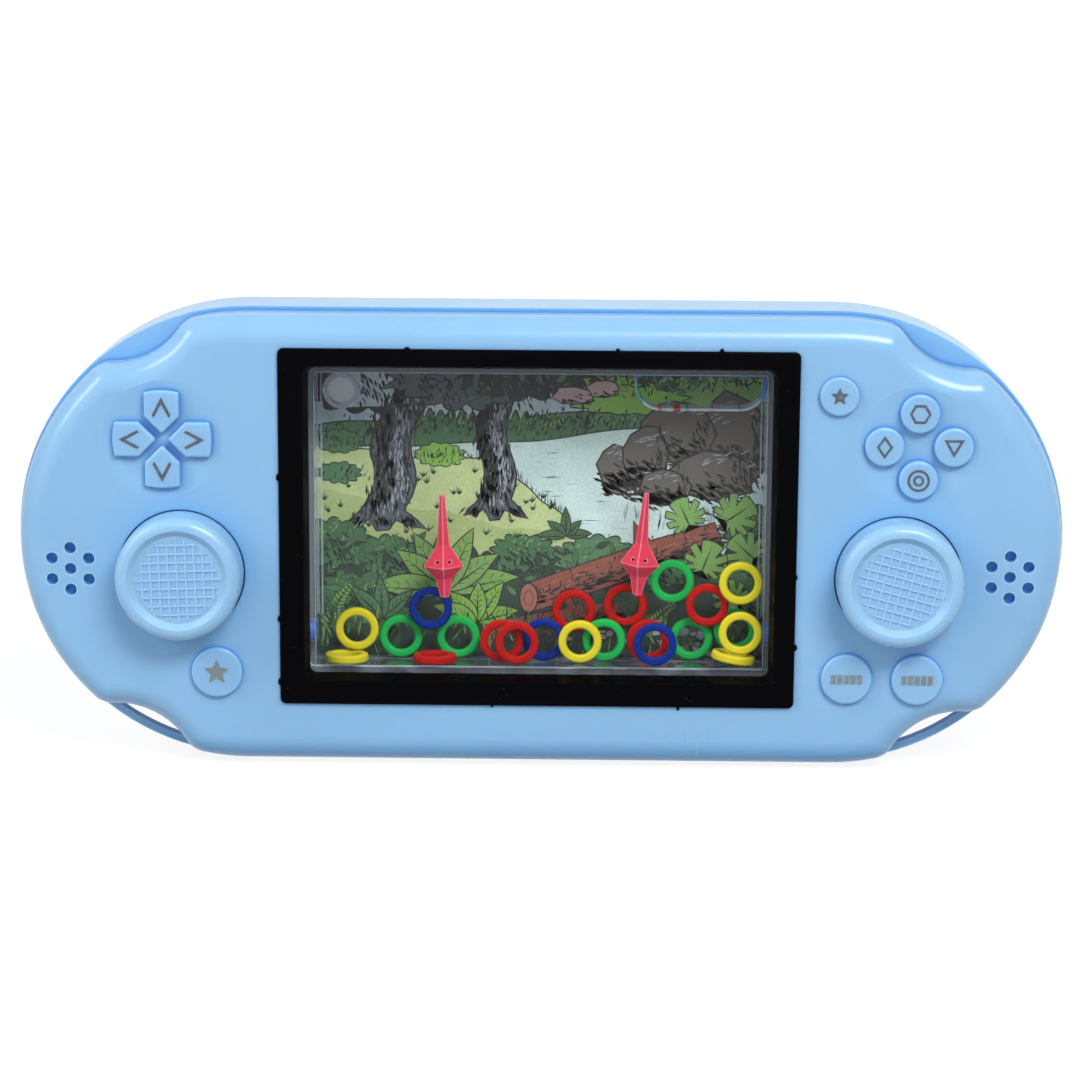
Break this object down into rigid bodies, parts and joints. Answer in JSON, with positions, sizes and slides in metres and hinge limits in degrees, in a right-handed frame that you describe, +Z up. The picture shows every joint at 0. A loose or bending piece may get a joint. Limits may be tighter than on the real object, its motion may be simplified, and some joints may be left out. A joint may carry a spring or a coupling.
{
  "type": "water ring toss game",
  "caption": "Handheld water-filled ring-toss game in a light blue console-shaped shell, with thumb pump caps, finned pegs and loose rings in a clear tank.",
  "frame": {"origin": "on the flat bottom of the rear shell, below the middle of the screen, on the parting plane of the two shells", "axes": "+X to the right along the long body seen from the front, +Y from the screen to the back, +Z up"},
  "size_m": [0.18, 0.033, 0.0792],
  "materials": {
    "shell_blue": "glossy moulded ABS, light blue, faint handling scratches",
    "cap_blue": "glossy moulded ABS, light blue, satin grip grid",
    "frame_black": "glossy black moulding with a little dust",
    "tank_clear": "clear injection-moulded styrene",
    "plug_grey": "soft translucent grey bung",
    "printed_card": "coated card printed in flat inks with dark outlines",
    "peg_pink": "pink-red slightly translucent plastic",
    "ring_yellow": "glossy yellow plastic",
    "ring_green": "glossy green plastic",
    "ring_blue": "glossy dark blue plastic",
    "ring_red": "glossy red plastic",
    "inner_white": "natural white moulding, inside the shell",
    "soft_rubber": "soft rubber, inside the shell",
    "screw_steel": "zinc-plated steel"
  },
  "bodies": {
    "housing": {"front_shell": "shell_blue", "rear_shell": "shell_blue", "screen_frame": "frame_black", "tank_body": "tank_clear", "tank_back_plate": "tank_clear", "filler_plug": "plug_grey", "backdrop_card": "printed_card", "peg_left": "peg_pink", "peg_right": "peg_pink", "left_pump_base": "inner_white", "right_pump_base": "inner_white", "left_pump_bellows": "soft_rubber", "right_pump_bellows": "soft_rubber", "left_duct_seal": "soft_rubber", "right_duct_seal": "soft_rubber", "housing_screw_1": "screw_steel", "housing_screw_2": "screw_steel", "housing_screw_3": "screw_steel", "housing_screw_4": "screw_steel", "housing_screw_5": "screw_steel", "housing_screw_6": "screw_steel"},
    "left_plunger": {"left_pump_plunger": "inner_white"},
    "left_cap": {"left_pump_cap": "cap_blue"},
    "right_plunger": {"right_pump_plunger": "inner_white"},
    "right_cap": {"right_pump_cap": "cap_blue"},
    "ring_yellow_1": {"ring_yellow_1": "ring_yellow"},
    "ring_green_1": {"ring_green_1": "ring_green"},
    "ring_blue_1": {"ring_blue_1": "ring_blue"},
    "ring_green_2": {"ring_green_2": "ring_green"},
    "ring_red_1": {"ring_red_1": "ring_red"},
    "ring_red_2": {"ring_red_2": "ring_red"},
    "ring_blue_2": {"ring_blue_2": "ring_blue"},
    "ring_red_3": {"ring_red_3": "ring_red"},
    "ring_yellow_2": {"ring_yellow_2": "ring_yellow"},
    "ring_green_3": {"ring_green_3": "ring_green"},
    "ring_red_4": {"ring_red_4": "ring_red"},
    "ring_red_5": {"ring_red_5": "ring_red"},
    "ring_blue_3": {"ring_blue_3": "ring_blue"},
    "ring_green_5": {"ring_green_5": "ring_green"},
    "ring_red_6": {"ring_red_6": "ring_red"},
    "ring_yellow_3": {"ring_yellow_3": "ring_yellow"},
    "ring_green_6": {"ring_green_6": "ring_green"},
    "ring_yellow_4": {"ring_yellow_4": "ring_yellow"},
    "ring_yellow_5": {"ring_yellow_5": "ring_yellow"},
    "ring_red_7": {"ring_red_7": "ring_red"},
    "ring_yellow_6": {"ring_yellow_6": "ring_yellow"},
    "ring_green_4": {"ring_green_4": "ring_green"}
  },
  "joints": [
    {"name": "left_pump_press", "type": "slide", "parent": "housing", "child": "left_plunger", "axis": [0, 1, 0], "range_m": [0, 0.0055], "stiffness_N_per_m": 300, "springref_m": -0.0008, "deforming": ["left_pump_bellows"]},
    {"name": "left_cap_turn", "type": "hinge", "parent": "left_plunger", "child": "left_cap", "pos_m": [-0.0612, 0, 0.0343], "axis": [0, 1, 0], "continuous": true},
    {"name": "right_pump_press", "type": "slide", "parent": "housing", "child": "right_plunger", "axis": [0, 1, 0], "range_m": [0, 0.0055], "stiffness_N_per_m": 300, "springref_m": -0.0008, "deforming": ["right_pump_bellows"]},
    {"name": "right_cap_turn", "type": "hinge", "parent": "right_plunger", "child": "right_cap", "pos_m": [0.0612, 0, 0.0343], "axis": [0, 1, 0], "continuous": true},
    {"name": "ring_yellow_1_rise", "type": "slide", "parent": "housing", "child": "ring_yellow_1", "axis": [0, 0, 1], "range_m": [0, 0.025]},
    {"name": "ring_green_1_rise", "type": "slide", "parent": "housing", "child": "ring_green_1", "axis": [0, 0, 1], "range_m": [0, 0.03]},
    {"name": "ring_blue_1_rise", "type": "slide", "parent": "housing", "child": "ring_blue_1", "axis": [0, 0, 1], "range_m": [0, 0.0008]},
    {"name": "ring_green_2_rise", "type": "slide", "parent": "housing", "child": "ring_green_2", "axis": [0, 0, 1], "range_m": [0, 0.005]},
    {"name": "ring_red_1_rise", "type": "slide", "parent": "housing", "child": "ring_red_1", "axis": [0, 0, 1], "range_m": [0, 0.018]},
    {"name": "ring_red_2_rise", "type": "slide", "parent": "housing", "child": "ring_red_2", "axis": [0, 0, 1], "range_m": [0, 0.012]},
    {"name": "ring_blue_2_rise", "type": "slide", "parent": "housing", "child": "ring_blue_2", "axis": [0, 0, 1], "range_m": [0, 0.028]},
    {"name": "ring_red_3_rise", "type": "slide", "parent": "housing", "child": "ring_red_3", "axis": [0, 0, 1], "range_m": [0, 0.025]},
    {"name": "ring_yellow_2_rise", "type": "slide", "parent": "housing", "child": "ring_yellow_2", "axis": [0, 0, 1], "range_m": [0, 0.03]},
    {"name": "ring_green_3_rise", "type": "slide", "parent": "housing", "child": "ring_green_3", "axis": [0, 0, 1], "range_m": [0, 0.006]},
    {"name": "ring_red_4_rise", "type": "slide", "parent": "housing", "child": "ring_red_4", "axis": [0, 0, 1], "range_m": [0, 0.002]},
    {"name": "ring_red_5_rise", "type": "slide", "parent": "housing", "child": "ring_red_5", "axis": [0, 0, 1], "range_m": [0, 0.0025]},
    {"name": "ring_blue_3_rise", "type": "slide", "parent": "housing", "child": "ring_blue_3", "axis": [0, 0, 1], "range_m": [0, 0.003]},
    {"name": "ring_green_5_rise", "type": "slide", "parent": "housing", "child": "ring_green_5", "axis": [0, 0, 1], "range_m": [0, 0.0025]},
    {"name": "ring_red_6_rise", "type": "slide", "parent": "housing", "child": "ring_red_6", "axis": [0, 0, 1], "range_m": [0, 0.02]},
    {"name": "ring_yellow_3_rise", "type": "slide", "parent": "housing", "child": "ring_yellow_3", "axis": [0, 0, 1], "range_m": [0, 0.015]},
    {"name": "ring_green_6_rise", "type": "slide", "parent": "housing", "child": "ring_green_6", "axis": [0, 0, 1], "range_m": [0, 0.02]},
    {"name": "ring_yellow_4_rise", "type": "slide", "parent": "housing", "child": "ring_yellow_4", "axis": [0, 0, 1], "range_m": [0, 0.02]},
    {"name": "ring_yellow_5_shift", "type": "slide", "parent": "housing", "child": "ring_yellow_5", "axis": [-1, 0, 0], "range_m": [0, 0.0012]},
    {"name": "ring_red_7_shift", "type": "slide", "parent": "housing", "child": "ring_red_7", "axis": [1, 0, 0], "range_m": [-0.002, 0.002]},
    {"name": "ring_yellow_6_shift", "type": "slide", "parent": "housing", "child": "ring_yellow_6", "axis": [-1, 0, 0], "range_m": [0, 0.0015]},
    {"name": "ring_green_4_rise", "type": "slide", "parent": "housing", "child": "ring_green_4", "axis": [0.6, 0, 0.8], "range_m": [0, 0.005]}
  ]
}
